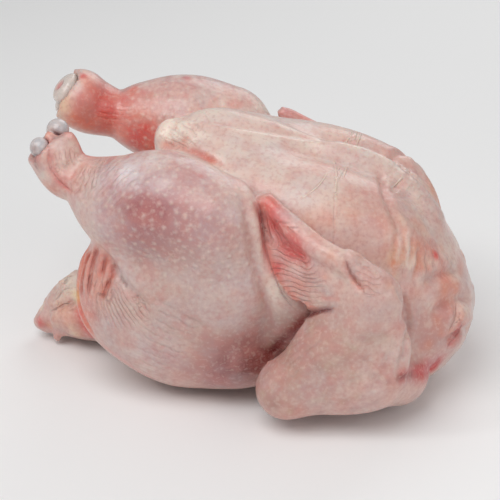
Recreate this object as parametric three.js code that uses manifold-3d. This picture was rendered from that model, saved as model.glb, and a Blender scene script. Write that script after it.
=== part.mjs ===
// A plucked and drawn whole chicken, raw, lying on its back with the breast up.
//
// Frame: millimetres, +X towards the neck, +Y towards the bird's right side, +Z up out of the breast.
// The origin is the middle of the footprint, on the surface that the back rests on.
//
// The bird is described as muscles and bones under a skin. Every muscle is a signed distance that is
// negative inside it. The muscles of one member melt into each other, the member is polygonised, and
// the members are then joined, so that a crease stays where a wing or a leg lies against the body.

import * as THREE from "three";
import { edgeTable, triTable } from "three/addons/objects/MarchingCubes.js";
import Module from "manifold-3d";

const wasm = await Module();
wasm.setup();

const at = (x, y, z) => new THREE.Vector3(x, y, z);

// ---------------------------------------------------------------- driving dimensions

const LEFT = -1; // the side of the bird, as the sign of Y
const RIGHT = 1;

// How far apart the polygons' corners are. The body's are longer along the bird, as its ridge is.
const BODY_STEP = at(9, 6, 7.8);
const LEG_STEP = at(6.7, 6.7, 6.7);
const WING_STEP = at(5, 5, 5);
const BONE_STEP = at(2.7, 2.7, 2.7);

const REST = 0; // the back is flat where it lies on the surface
const LIFT = 0.8; // legs and wings stay this far above it
const EDGE = 2.5; // how gently a flat underside turns up
const WALL = 5; // how gently the lips of the cavity are rounded
const GAP = 0.4; // between a bone end and the flesh round it

const SOFTEST = 0.2; // keeps a step back to the skin from running away where the skin is thin
const PULL = 0.6; // how far a corner moves towards the middle of its neighbours in one round
const ROUNDS = 4;

// ---------------------------------------------------------------- distances

// An ellipsoid, turned by Euler angles in degrees.
function muscle(centre, radii, turn = [0, 0, 0]) {
  const euler = new THREE.Euler(...turn.map(THREE.MathUtils.degToRad));
  const back = new THREE.Quaternion().setFromEuler(euler).invert();
  const p = at(0, 0, 0);
  return (x, y, z) => {
    p.set(x, y, z).sub(centre).applyQuaternion(back).divide(radii);
    const near = p.length();
    const slope = p.divide(radii).length();
    return slope < 1e-9 ? -Math.min(radii.x, radii.y, radii.z) : (near * (near - 1)) / slope;
  };
}

// Balls strung on a smooth curve. Each stop is [point, radius]. With flat, the section is thinner
// along that direction by the ratio.
function limb(stops, { flat = null, ratio = 1, spans = 14 } = {}) {
  const curve = new THREE.CatmullRomCurve3(stops.map(([point]) => point), false, "centripetal");
  const radiusAt = (t) => {
    const s = t * (stops.length - 1);
    const i = Math.min(Math.floor(s), stops.length - 2);
    return THREE.MathUtils.lerp(stops[i][1], stops[i + 1][1], THREE.MathUtils.smoothstep(s - i, 0, 1));
  };
  const line = Array.from({ length: spans + 1 }, (_, i) => [curve.getPoint(i / spans), radiusAt(i / spans)]);
  const axis = flat ? flat.clone().normalize() : null;
  const w = at(0, 0, 0);
  const step = at(0, 0, 0);
  return (x, y, z) => {
    let least = Infinity;
    for (let i = 0; i < spans; i++) {
      const [a, ra] = line[i];
      const [b, rb] = line[i + 1];
      step.subVectors(b, a);
      w.set(x, y, z).sub(a);
      const t = THREE.MathUtils.clamp(w.dot(step) / step.lengthSq(), 0, 1);
      w.addScaledVector(step, -t);
      if (axis) w.addScaledVector(axis, (1 / ratio - 1) * w.dot(axis));
      least = Math.min(least, w.length() - THREE.MathUtils.lerp(ra, rb, t));
    }
    return least;
  };
}

// Two distances melted into each other over a width.
function melt(a, b, width) {
  const h = Math.max(width - Math.abs(a - b), 0) / width;
  return Math.min(a, b) - (h * h * width) / 4;
}

// A member is a list of [field, melting width]; each melts into those before it.
function member(parts) {
  return (x, y, z) => parts.reduce((d, [field, width]) => melt(d, field(x, y, z), width), 1e3);
}

const without = (field, hollow, width) => (x, y, z) => -melt(-field(x, y, z), hollow(x, y, z), width);

// The part of a form on one side of a plane. The direction away points out of the cut.
function cut(field, point, away, width) {
  const way = away.clone().normalize();
  const level = way.dot(point);
  return (x, y, z) => -melt(-field(x, y, z), level - (way.x * x + way.y * y + way.z * z), width);
}

const above = (field, level, width) => (x, y, z) => -melt(-field(x, y, z), z - level, width);

// ---------------------------------------------------------------- polygons

// The corners and edges of a cell, in the order that the two marching cubes tables count them.
const CORNERS = [
  [0, 0, 0], [1, 0, 0], [1, 1, 0], [0, 1, 0], [0, 0, 1], [1, 0, 1], [1, 1, 1], [0, 1, 1],
];
const EDGES = [
  [0, 1], [1, 2], [2, 3], [3, 0], [4, 5], [5, 6], [6, 7], [7, 4], [0, 4], [1, 5], [2, 6], [3, 7],
];
const OFF_CORNER = 0.08; // a point stays this share of an edge away from its ends

// The surface where the field is zero, inside the box, as {points, triangles}.
function polygonise(field, box, step) {
  const count = box.getSize(at(0, 0, 0)).divide(step).ceil().addScalar(1);
  const place = (i, j, k) => [box.min.x + i * step.x, box.min.y + j * step.y, box.min.z + k * step.z];
  const id = (i, j, k) => i + count.x * (j + count.y * k);
  const values = new Float64Array(count.x * count.y * count.z);
  for (let k = 0; k < count.z; k++)
    for (let j = 0; j < count.y; j++)
      for (let i = 0; i < count.x; i++) values[id(i, j, k)] = field(...place(i, j, k));

  const points = [];
  const triangles = [];
  const made = new Map();
  const vertexOn = (a, b) => {
    const [ia, ib] = [id(...a), id(...b)];
    const key = Math.min(ia, ib) * values.length + Math.max(ia, ib);
    if (!made.has(key)) {
      const t = THREE.MathUtils.clamp(values[ia] / (values[ia] - values[ib]), OFF_CORNER, 1 - OFF_CORNER);
      made.set(key, points.length);
      points.push(at(...place(...a)).lerp(at(...place(...b)), t));
    }
    return made.get(key);
  };
  for (let k = 0; k < count.z - 1; k++)
    for (let j = 0; j < count.y - 1; j++)
      for (let i = 0; i < count.x - 1; i++) {
        const corner = CORNERS.map(([x, y, z]) => [i + x, j + y, k + z]);
        const code = corner.reduce((sum, c, n) => sum + (values[id(...c)] < 0 ? 1 << n : 0), 0);
        if (edgeTable[code] === 0) continue;
        for (let n = code * 16; triTable[n] !== -1; n++) {
          const [from, to] = EDGES[triTable[n]];
          triangles.push(vertexOn(corner[from], corner[to]));
        }
      }
  return { points, triangles };
}

// Which way the field grows at p, and how fast.
function slopeOf(field, p) {
  const e = 0.05;
  return at(
    field(p.x + e, p.y, p.z) - field(p.x - e, p.y, p.z),
    field(p.x, p.y + e, p.z) - field(p.x, p.y - e, p.z),
    field(p.x, p.y, p.z + e) - field(p.x, p.y, p.z - e),
  ).divideScalar(2 * e);
}

// Evens out the triangles: each corner moves to the middle of its neighbours, then back to the skin.
function relax({ points, triangles }, field) {
  const around = points.map(() => new Set());
  for (let n = 0; n < triangles.length; n += 3) {
    const t = triangles.slice(n, n + 3);
    t.forEach((v, i) => around[v].add(t[(i + 1) % 3]).add(t[(i + 2) % 3]));
  }
  for (let round = 0; round < ROUNDS; round++) {
    const middles = around.map((ring) =>
      [...ring].reduce((sum, v) => sum.add(points[v]), at(0, 0, 0)).divideScalar(ring.size));
    points.forEach((p, i) => {
      p.lerp(middles[i], PULL);
      for (let back = 0; back < 2; back++) {
        const slope = slopeOf(field, p);
        p.addScaledVector(slope, -field(p.x, p.y, p.z) / Math.max(slope.lengthSq(), SOFTEST));
      }
    });
  }
}

// The tables turn their triangles inwards, so two corners of each change places.
function solid(field, box, step) {
  const surface = polygonise(field, box, step);
  relax(surface, field);
  const vertProperties = new Float32Array(surface.points.flatMap((p) => [p.x, p.y, p.z]));
  const triVerts = new Uint32Array(surface.triangles);
  for (let n = 0; n < triVerts.length; n += 3)
    [triVerts[n + 1], triVerts[n + 2]] = [triVerts[n + 2], triVerts[n + 1]];
  return new wasm.Manifold(new wasm.Mesh({ numProp: 3, vertProperties, triVerts }));
}

const boxOf = (low, high) => new THREE.Box3(at(...low), at(...high));

// ---------------------------------------------------------------- the body

// The skin stands in a low ridge over the breastbone, from the vent to the neck.
const keel = limb([
  [at(-38, 0, 112.5), 6.5], [at(-20, 0, 114), 6], [at(3.5, 0, 113.5), 6], [at(30, 0, 110.5), 6],
  [at(51.5, 0, 107), 6], [at(66, 0, 100), 6], [at(76, 0, 92), 6.5], [at(83, 0, 81), 7.5],
]);

// The hollow that drawing the bird leaves, open between the legs.
const cavity = limb([[at(-86, 0, 78), 25], [at(-60, 0, 72), 24], [at(-17, 0, 63), 26.5], [at(33, 0, 58), 28]], {
  flat: at(0, 1, 0), ratio: 0.8,
});

const tail = limb([[at(-63, 0, 21.5), 20], [at(-84, 0, 19), 17], [at(-102, 0, 9.5), 7.5]]);

const trunk = member([
  [muscle(at(25, 0, 51.5), at(74.5, 51.5, 54)), 1],
  [muscle(at(14, -23, 78), at(69, 28, 35.5)), 15], // the two halves of the breast
  [muscle(at(14, 23.5, 79.5), at(70, 28, 35.5)), 15],
  [muscle(at(71, 0, 32), at(32.5, 43, 32)), 21], // the neck end
  [keel, 8],
  [muscle(at(-35, 0, 33), at(46.5, 41.5, 35.5)), 20], // the hips
  [muscle(at(-9, 0, 89.5), at(37.5, 36.5, 35)), 11.5], // the flap of belly skin over the vent
  [muscle(at(-20, 15, 105), at(26, 14, 11)), 9],
  [tail, 10],
]);

const body = above(without(trunk, cavity, WALL), REST, EDGE);

// The polygons are laid out from the middle plane, so that the ridge runs along their edges.
const BODY_HALF = 10 * BODY_STEP.y;
const bodySolid = solid(body, boxOf([-116, -BODY_HALF, -8], [116, BODY_HALF, 137]), BODY_STEP);

// ---------------------------------------------------------------- legs

const LEG = {
  [LEFT]: {
    joints: [
      [at(-6.5, -48, 93), 21], [at(-30, -42.5, 96.5), 24], [at(-48, -38, 92.5), 22.5],
      [at(-70.5, -31.5, 99.5), 11.5], [at(-77.5, -30.5, 104), 12.8], [at(-85.5, -30, 111), 14.5],
    ],
    stump: [at(-86.5, -30, 115.5), at(-0.72, 0.05, 0.69)],
  },
  [RIGHT]: {
    joints: [
      [at(-21.5, 48, 99), 22], [at(-40.5, 42.5, 103), 24], [at(-58, 37, 106), 18.5], [at(-72, 33, 108.5), 12],
      [at(-86.5, 30, 113.5), 14], [at(-89.5, 28, 115.5), 14],
    ],
    stump: [at(-99, 28, 117.5), at(-0.95, 0, 0.31)],
  },
};

// The thigh and the drumstick, under one skin, down to the cut at the ankle. The bird's weight flattens
// the thigh behind, and spreads it in front.
function leg(side) {
  const { joints, stump } = LEG[side];
  const thigh = muscle(at(-27.5, side * 37.5, 45), at(46.5, 27.5, 42.5), [0, -8, 0]);
  const meat = member([
    [cut(thigh, at(-52, side * 45, 12), at(-0.5, side * 0.25, -0.8), 14), 1],
    [muscle(at(3, side * 36, 24), at(24, 20, 18)), 12],
    [muscle(at(-5, side * 41.5, 69.5), at(26.5, 23, 35)), 15],
    [limb(joints, { spans: 24 }), 10],
  ]);
  return above(without(cut(meat, ...stump, EDGE * 2), cavity, WALL), LIFT, EDGE);
}

function legSolid(side) {
  const [near, far] = [side * 4, side * 79].sort((a, b) => a - b);
  return solid(leg(side), boxOf([-116, near, -5], [33, far, 145]), LEG_STEP);
}

// ---------------------------------------------------------------- bone ends

const BONE = {
  // The left ankle was cut through its joint: two round knobs of cartilage on the end of the bone.
  [LEFT]: {
    field: member([
      [muscle(at(-84.8, -23, 120.6), at(5.8, 5.6, 6.2)), 1],
      [muscle(at(-90, -36.5, 116.6), at(5.4, 5.2, 6.2)), 3.5],
      [limb([[at(-87, -30, 117), 5], [at(-82, -30, 106), 4.2]]), 5],
    ]),
    box: boxOf([-105, -50, 93], [-70, -10, 134]),
  },
  // The right one shows the end of the bone as a cap of cartilage.
  [RIGHT]: {
    field: member([
      [muscle(at(-99, 27.5, 118.5), at(5.8, 10, 13.3), [0, 18, 0]), 1],
      [limb([[at(-98, 28, 118), 5], [at(-87, 30, 114.5), 4.2]]), 5],
    ]),
    box: boxOf([-112, 10, 98], [-74, 46, 140]),
  },
};

const boneSolid = (side) => solid(BONE[side].field, BONE[side].box, BONE_STEP);

const socketSolid = (side) => solid((x, y, z) => BONE[side].field(x, y, z) - GAP, BONE[side].box, BONE_STEP);

// ---------------------------------------------------------------- wings

// The right hand is folded higher up the breast than the left one.
const HAND = {
  [LEFT]: { palm: at(42.5, -57.5, 82), tip: at(15.5, -43.5, 100) },
  [RIGHT]: { palm: at(37.5, 56.5, 88), tip: at(6, 44, 108.5) },
};

// A wing is folded in a Z: upper arm back to the elbow, forearm up to the wrist, hand back to the tip.
function wing(side) {
  const root = at(76, side * 38, 20);
  const shoulder = at(65.5, side * 53, 25.5);
  const elbow = at(30, side * 62, 20);
  const wrist = at(66.5, side * 60.5, 69);
  const { palm, tip } = HAND[side];
  const meat = member([
    [limb([[root, 15], [shoulder, 14], [shoulder.clone().lerp(elbow, 0.5), 13.5], [elbow, 12]]), 1],
    [limb([[elbow, 12], [elbow.clone().lerp(wrist, 0.5), 11], [wrist, 11]]), 8],
    [muscle(at(60.5, side * 60, 41), at(23.5, 9, 27), [0, 20, 0]), 11.5], // the web of skin between them
    [limb([[wrist, 12.5], [palm, 11.5], [tip, 6.5]], { flat: at(0.1, 1, side * 0.3), ratio: 0.55 }), 6.5],
    [muscle(at(31.5, side * 54, 80), at(21, 5.5, 9.5), [0, 40, 0]), 5], // the skin that carried the flight feathers
    [limb([[at(66.5, side * 61.5, 74.5), 5], [at(56.5, side * 59, 84.5), 4.2]]), 3.5], // the thumb
  ]);
  return above(meat, LIFT, EDGE);
}

function wingSolid(side) {
  const [near, far] = [side * 17, side * 83].sort((a, b) => a - b);
  return solid(wing(side), boxOf([0, near, -5], [116, far, 125]), WING_STEP);
}

// ---------------------------------------------------------------- the object

const SKIN = new THREE.MeshStandardMaterial({ color: 0xdcb8a9, roughness: 0.42, metalness: 0 });
const CARTILAGE = new THREE.MeshStandardMaterial({ color: 0xc9ced3, roughness: 0.3, metalness: 0 });

function meshOf(name, made, material) {
  const { vertProperties, triVerts } = made.getMesh();
  const geometry = new THREE.BufferGeometry()
    .setAttribute("position", new THREE.BufferAttribute(vertProperties, 3))
    .setIndex(new THREE.BufferAttribute(triVerts, 1));
  geometry.computeVertexNormals();
  const mesh = new THREE.Mesh(geometry, material);
  mesh.name = name;
  return mesh;
}

const limbs = [LEFT, RIGHT].flatMap((side) => [legSolid(side).subtract(socketSolid(side)), wingSolid(side)]);
const flesh = limbs.reduce((whole, part) => whole.add(part), bodySolid);

const bird = new THREE.Group();
bird.add(meshOf("chicken", flesh, SKIN));
bird.add(meshOf("left_leg_bone", boneSolid(LEFT), CARTILAGE));
bird.add(meshOf("right_leg_bone", boneSolid(RIGHT), CARTILAGE));

// The origin goes to the middle of the footprint, at the height of the lowest point.
const extent = new THREE.Box3().setFromObject(bird);
const middle = extent.getCenter(at(0, 0, 0));
bird.position.set(-middle.x, -middle.y, -extent.min.z);

export default bird;
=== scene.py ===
# %% [markdown]
# # A whole raw chicken
#
# The bird lies on its back with the breast up, plucked and drawn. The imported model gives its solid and
# the two bone ends that show at the cut ankles. This script dresses them: the skin with its folds,
# wrinkles and feather pits, the cut flesh, and the wet cartilage.

# %% Load the frame
import math
import random

import bmesh
import bpy
import numpy as np
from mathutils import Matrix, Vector
from mathutils.bvhtree import BVHTree
from mathutils.kdtree import KDTree


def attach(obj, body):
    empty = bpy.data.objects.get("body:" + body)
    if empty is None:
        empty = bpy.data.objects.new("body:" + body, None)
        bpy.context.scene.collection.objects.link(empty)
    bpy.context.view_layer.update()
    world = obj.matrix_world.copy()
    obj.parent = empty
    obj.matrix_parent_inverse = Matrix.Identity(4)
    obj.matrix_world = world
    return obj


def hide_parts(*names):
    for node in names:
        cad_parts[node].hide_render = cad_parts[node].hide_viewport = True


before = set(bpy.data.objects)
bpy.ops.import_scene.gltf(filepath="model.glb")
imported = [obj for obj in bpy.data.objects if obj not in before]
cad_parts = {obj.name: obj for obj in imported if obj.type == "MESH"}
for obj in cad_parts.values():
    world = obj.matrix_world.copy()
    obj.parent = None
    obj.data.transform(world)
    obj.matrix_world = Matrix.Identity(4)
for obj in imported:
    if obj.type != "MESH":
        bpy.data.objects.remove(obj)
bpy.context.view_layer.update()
scene = bpy.context.scene

# %% [markdown]
# ## Camera
#
# The bird is seen a little from above and from its left side, through a long lens. The camera is made
# first, because marks on the skin are placed by looking through it.

# %% Camera
FRAME_SIZE = 500  # pixels, each way
FOCAL = 1566.0  # pixels
AZIMUTH = math.radians(12)
ELEVATION = math.radians(25)
DISTANCE = 0.747
LOOK_AT = Vector((0.00162, 0.0, 0.0573))


def linked(name, data):
    """A new object in the scene."""
    made = bpy.data.objects.new(name, data)
    scene.collection.objects.link(made)
    return made


towards_eye = Vector((
    math.sin(AZIMUTH) * math.cos(ELEVATION),
    -math.cos(AZIMUTH) * math.cos(ELEVATION),
    math.sin(ELEVATION),
))
eye = LOOK_AT + towards_eye * DISTANCE
lens = bpy.data.cameras.new("camera")
lens.sensor_width = 36.0
lens.lens = FOCAL / FRAME_SIZE * lens.sensor_width
camera = linked("camera", lens)
camera.location = eye
camera.rotation_euler = (-towards_eye).to_track_quat("-Z", "Y").to_euler()
scene.camera = camera
to_right = Vector((math.cos(AZIMUTH), math.sin(AZIMUTH), 0.0))
to_top = to_right.cross(-towards_eye)


def sight(u, v):
    """The direction from the eye through a place in the frame."""
    middle = FRAME_SIZE / 2
    return (to_right * (u - middle) + to_top * (middle - v) - towards_eye * FOCAL).normalized()


print("eye:", [round(c, 4) for c in eye], "lens:", round(lens.lens, 2), "mm")

# %% [markdown]
# ## Distances to flesh
#
# Muscles and limbs are round forms that swell into each other under the skin. Each is a distance that is
# negative inside it, worked out for many points at once, in millimetres. Melting two distances gives the
# soft valley that skin makes where it stretches over both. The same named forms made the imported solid,
# so the fine skin lands on it.

# %% Distance helpers
MM = 0.001
SHIFT = np.array([1.624, -0.003, 0.0])  # from the forms' own origin to the frame's
FAR = 40.0


def at(x, y, z):
    return np.array([x, y, z], float)


def muscle(centre, radii, turn=0.0, spin=0.0):
    """An egg of three radii, turned about Y, then about Z, by degrees."""
    c, s = math.cos(math.radians(turn)), math.sin(math.radians(turn))
    about_y = np.array([[c, 0, s], [0, 1, 0], [-s, 0, c]])
    c, s = math.cos(math.radians(spin)), math.sin(math.radians(spin))
    axes = np.array([[c, -s, 0], [s, c, 0], [0, 0, 1]]) @ about_y

    def distance(p):
        q = (p - centre) @ axes / radii
        near = np.linalg.norm(q, axis=1)
        slope = np.maximum(np.linalg.norm(q / radii, axis=1), 1e-9)
        return near * (near - 1) / slope

    return distance


def curve(stops, spans):
    """Points on a smooth curve through the stops. The first three numbers of a stop set the spacing."""
    stops = np.array(stops, float)
    ends = np.vstack([2 * stops[0] - stops[1], stops, 2 * stops[-1] - stops[-2]])
    line = []
    for t in np.linspace(0, len(stops) - 1, spans + 1):
        i = min(int(t), len(stops) - 2)
        a, b, c, d = ends[i : i + 4]
        gaps = [max(np.linalg.norm((q - p)[:3]), 1e-6) ** 0.5 for p, q in ((a, b), (b, c), (c, d))]
        k0, k1, k2 = gaps
        m1 = ((b - a) / k0 - (c - a) / (k0 + k1) + (c - b) / k1) * k1
        m2 = ((c - b) / k1 - (d - b) / (k1 + k2) + (d - c) / k2) * k1
        w = t - i
        line.append(b + m1 * w + (-3 * b + 3 * c - 2 * m1 - m2) * w**2 + (2 * b - 2 * c + m1 + m2) * w**3)
    return np.array(line)


# %% Limbs and leaves
def limb(stops, flat=None, ratio=1.0, spans=20):
    """Balls strung on a smooth curve, thinner along flat by the ratio. Each stop is (point, radius)."""
    line = curve([[*point, radius] for point, radius in stops], spans)
    axis = None if flat is None else flat / np.linalg.norm(flat)

    def distance(p):
        least = np.full(len(p), np.inf)
        for a, b in zip(line, line[1:]):
            step = (b - a)[:3]
            w = p - a[:3]
            t = np.clip(w @ step / (step @ step), 0, 1)
            w -= t[:, None] * step
            if axis is not None:
                w += (1 / ratio - 1) * (w @ axis)[:, None] * axis
            length = np.sqrt(np.einsum("ij,ij->i", w, w))
            np.minimum(least, length - (a[3] + (b[3] - a[3]) * t), out=least)
        return least

    return distance


def sheet(corners, thick):
    """A flat leaf with rounded edges round a convex outline."""
    middle = np.mean(corners, axis=0)
    across = np.cross(corners[1] - middle, corners[3] - middle)
    across /= np.linalg.norm(across)
    edges = []
    for a, b in zip(corners, corners[1:] + corners[:1]):
        out = np.cross(b - a, across)
        out *= np.sign((a - middle) @ out) / np.linalg.norm(out)
        edges.append((a, out))

    def distance(p):
        beyond = np.max([(p - a) @ out for a, out in edges], axis=0)
        return np.hypot(np.maximum(beyond, 0), (p - middle) @ across) - thick

    return distance


# %% Melting and cutting
def melt(a, b, width):
    """The smaller of two distances, rounded off over a width where they come close."""
    h = np.maximum(width - np.abs(a - b), 0) / width
    return np.minimum(a, b) - h * h * width / 4


def member(*parts):
    """Forms under one skin: each (distance, width) melts into those before it."""

    def distance(p):
        d = parts[0][0](p)
        for part, width in parts[1:]:
            d = melt(d, part(p), width)
        return d

    return distance


def without(field, hollow, width):
    """A form less a hollow, with a rounded lip."""
    return lambda p: -melt(-field(p), hollow(p), width)


def cut(field, point, away, width):
    """The part of a form on one side of a plane; away points out of the cut."""
    away = away / np.linalg.norm(away)
    return lambda p: -melt(-field(p), (point - p) @ away, width)


def above(field, level, width):
    """The part of a form above a level."""
    return lambda p: -melt(-field(p), p[:, 2] - level, width)


def only_in(field, low, high):
    """The same distance, worked out only for points in a box, and far away elsewhere."""

    def distance(p):
        d = np.full(len(p), FAR)
        inside = np.all((p > low) & (p < high), axis=1)
        if inside.any():
            d[inside] = field(p[inside])
        return d

    return distance


# %% [markdown]
# ## Body
#
# The breast is two long muscles either side of the breastbone, whose keel lifts the skin into a low
# ridge. Behind it a flap of belly skin hangs over the vent, and the drawn bird's cavity opens under it.

# %% Body forms
KEEL = [
    (at(-38, 0, 112.5), 6.5), (at(-20, 0, 114), 6), (at(3.5, 0, 113.5), 6), (at(30, 0, 110.5), 6),
    (at(51.5, 0, 107), 6), (at(66, 0, 100), 6), (at(76, 0, 92), 6.5), (at(83, 0, 81), 7.5),
]
cavity = limb(
    [(at(-86, 0, 78), 25), (at(-60, 0, 72), 24), (at(-17, 0, 63), 26.5), (at(33, 0, 58), 28)],
    flat=at(0, 1, 0), ratio=0.8,
)
QUILL = at(-96, -8.5, 4.4)  # a stub of feather left under the tail
tail = limb([(at(-63, 0, 21.5), 20), (at(-84, 0, 19), 17), (at(-102, 0, 9.5), 7.5)])
trunk = member(
    (muscle(at(25, 0, 51.5), at(74.5, 51.5, 54)), 1),
    (muscle(at(14, -23, 78), at(69, 28, 35.5)), 15),
    (muscle(at(14, 23.5, 79.5), at(70, 28, 35.5)), 15),
    (muscle(at(71, 0, 32), at(32.5, 43, 32)), 21),
    (muscle(at(92, -8, 37), at(12.5, 16, 13)), 9),
    (muscle(at(92, 8, 35), at(12, 15, 12)), 9),
    (limb(KEEL), 8),
    (muscle(at(-35, 0, 33), at(46.5, 41.5, 35.5)), 20),
    (muscle(at(-9, 0, 89.5), at(37.5, 36.5, 35)), 11.5),
    (muscle(at(-20, 15, 105), at(26, 14, 11)), 9),
    (tail, 10),
    (muscle(QUILL, at(2.4, 2.4, 2.8)), 1.2),
)
WALL = 5  # how gently the lips of the cavity are rounded
EDGE = 2.5  # how gently a flat underside turns up
LIFT = 0.8  # legs and wings stay this far above what the bird lies on
body = above(without(trunk, cavity, WALL), 0, EDGE)
print("the keel reaches", max(point[2] + radius for point, radius in KEEL), "mm up")

# %% [markdown]
# ## Legs and wings
#
# Thigh and drumstick share one skin down to the cut ankle. The left and right ankles were cut and
# pulled a little differently. A wing folds in a Z: upper arm back, forearm up, hand back to the tip.

# %% Leg and wing forms
LEFT, RIGHT = -1, 1
LEG = {
    LEFT: [
        (at(-6.5, -48, 93), 21), (at(-30, -42.5, 96.5), 24), (at(-48, -38, 92.5), 22.5),
        (at(-70.5, -31.5, 99.5), 11.8), (at(-79.3, -31, 103), 11.6), (at(-85.3, -30, 112.5), 12.2),
    ],
    RIGHT: [
        (at(-21.5, 48, 99), 22), (at(-40.5, 42.5, 103), 24), (at(-58, 37, 106), 18.5),
        (at(-72, 33, 108.5), 12), (at(-86.5, 30, 113.5), 14), (at(-90.5, 28, 117), 14.6),
    ],
}
STUMP = {  # where each ankle was cut through, and which way the cut faces
    LEFT: (at(-86.5, -30, 117.2), at(-0.55, 0.05, 0.83)),
    RIGHT: (at(-97.7, 23.6, 125), at(-0.62, -0.38, 0.69)),
}
KNOT = at(-86.9, -31.6, 118.2)  # flesh standing up between the two knuckles
HAND = {
    LEFT: dict(palm=at(42.5, -57.5, 82), moved=at(0, 0, 0)),
    RIGHT: dict(palm=at(37.5, 56.5, 88), moved=at(-7.5, 0, 5)),
}
BLADE = [  # corners of the flat of the left hand
    at(15.5, -45.9, 104.7), at(52, -60.5, 85.5), at(47.5, -60, 61.5), at(39.5, -57.2, 61.3),
    at(31.5, -54.2, 64.2), at(25, -51.3, 71), at(20, -48.8, 82),
]
FINGER = [(at(56, -61, 84), 5.2), (at(43, -59, 88), 4.2), (at(30, -54, 94), 3.5), (at(17, -46.5, 104), 3)]
BONE = {
    LEFT: member(
        (muscle(at(-84.8, -23.5, 120.4), at(5.2, 5.2, 5.2)), 1),
        (muscle(at(-89.5, -36, 116), at(4.4, 4.4, 4.8)), 2),
        (limb([(at(-84.8, -24.5, 119), 3), (at(-83, -29.5, 109.5), 3.4), (at(-89, -35.5, 115), 2.6)]), 1.5),
    ),
    RIGHT: member(
        (muscle(at(-96.4, 24.4, 123.8), at(3.4, 7.6, 8), 43.6, 31.5), 1),
        (limb([(at(-95, 25, 120), 5), (at(-87, 30, 114.5), 4.2)]), 5),
    ),
}
print("ankles cut at", STUMP[LEFT][0], "and", STUMP[RIGHT][0], "mm")


# %% One leg
def leg(side):
    """Thigh, drumstick and cut ankle of one side, under one skin."""
    thigh = muscle(at(-27.5, side * 37.5, 45), at(46.5, 27.5, 42.5), -8)
    meat = member(
        (cut(thigh, at(-52, side * 45, 12), at(-0.5, side * 0.25, -0.8), 14), 1),
        (muscle(at(3, side * 36, 24), at(24, 20, 18)), 12),
        (muscle(at(-5, side * 41.5, 69.5), at(26.5, 23, 35)), 15),
        (muscle(at(-62.5, side * 38, 56), at(9, 11, 15.5)), 5),
        (limb(LEG[side], spans=42), 10),
    )
    meat = cut(meat, *STUMP[side], 1.3 * EDGE)
    if side == LEFT:
        meat = member((meat, 1), (muscle(KNOT, at(4.4, 3.4, 4.2)), 2))
    whole = above(without(meat, cavity, WALL), LIFT, EDGE)
    low, high = sorted((side * 2, side * 82))
    return only_in(whole, at(-118, low, -8), at(36, high, 148))


# %% One wing
def swung(p, side):
    """A point of the left hand, or the same one on the right, which is swung back and up from the wrist."""
    return p * at(1, -side, 1) + HAND[side]["moved"] * (60 - p[0]) / 42


def wing(side):
    """Upper arm, forearm and hand of one side, folded in a Z."""
    root, shoulder = at(76, side * 38, 20), at(65.5, side * 53, 25.5)
    elbow, wrist = at(30, side * 62, 20), at(66.5, side * 60.5, 69)
    palm, thin_way = HAND[side]["palm"], at(0.1, 1, side * 0.3)
    meat = member(
        (limb([(root, 15), (shoulder, 14), ((shoulder + elbow) / 2, 13.5), (elbow, 12)]), 1),
        (limb([(elbow, 12), ((elbow + wrist) / 2, 11), (at(59, side * 61, 55.5), 9.6), (wrist, 11)]), 8),
        (muscle(at(60.5, side * 60, 41), at(23.5, 9, 27), 20), 11.5),
        (limb([(wrist, 12.5), ((wrist + palm) / 2, 9.5), (palm, 6.5)], flat=thin_way, ratio=0.55), 5),
        (sheet([swung(p, side) for p in BLADE], 3.1), 3),
        (limb([(swung(p, side), r) for p, r in FINGER]), 3),
        (limb([(at(67, side * 62, 76), 7), (at(58.5, side * 60.5, 83.5), 5.2)]), 2.5),
    )
    low, high = sorted((side * 15, side * 85))
    return only_in(above(meat, LIFT, EDGE), at(-4, low, -8), at(118, high, 128))


# %% [markdown]
# ## Skin
#
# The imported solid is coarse, so a copy of it is remeshed into small even squares, and every corner is
# moved along its normal until it lies on the smooth forms. Where a wing or a thigh lies on the body the
# skin closes softly instead of meeting in a knife edge.

# %% Skin mesh helpers
CONTACT = 2.4  # how softly one member closes onto the next
BONE_GAP = 0.3
members = [leg(LEFT), leg(RIGHT), wing(LEFT), wing(RIGHT)]


def flesh(p):
    """The whole bird, with room left for the bone ends."""
    d = body(p)
    for part in members:
        d = melt(d, part(p), CONTACT)
    for side in (LEFT, RIGHT):
        near = np.linalg.norm(p - STUMP[side][0], axis=1) < 45
        if near.any():
            d[near] = -melt(-d[near], BONE[side](p[near]) - BONE_GAP, 1.2)
    return d


# %% Corners in and out
def read(data, key):
    values = np.empty(len(data) * 3, np.float32)
    data.foreach_get(key, values)
    return values.reshape(-1, 3).astype(float)


def points_of(thing):
    """Where the corners are, in the forms' own millimetres."""
    return read(thing.data.vertices, "co") / MM - SHIFT


def put(thing, p):
    """Moves the corners to places given in the forms' own millimetres."""
    thing.data.vertices.foreach_set("co", ((p + SHIFT) * MM).astype(np.float32).ravel())
    thing.data.update()


# %% Copies and modifiers
def copy_of(node, name):
    """A merged copy of a CAD node's mesh, as an object of its own."""
    bm = bmesh.new()
    bm.from_mesh(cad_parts[node].data)
    bmesh.ops.remove_doubles(bm, verts=bm.verts, dist=1e-6)
    mesh = bpy.data.meshes.new(name)
    bm.to_mesh(mesh)
    bm.free()
    return linked(name, mesh)


def finished(thing, kind, **settings):
    """Adds a modifier, keeps its result as the mesh, and takes the modifier off again."""
    modifier = thing.modifiers.new(kind, kind)
    for key, value in settings.items():
        setattr(modifier, key, value)
    graph = bpy.context.evaluated_depsgraph_get()
    done = bpy.data.meshes.new_from_object(thing.evaluated_get(graph))
    thing.modifiers.clear()
    thing.data = done


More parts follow.
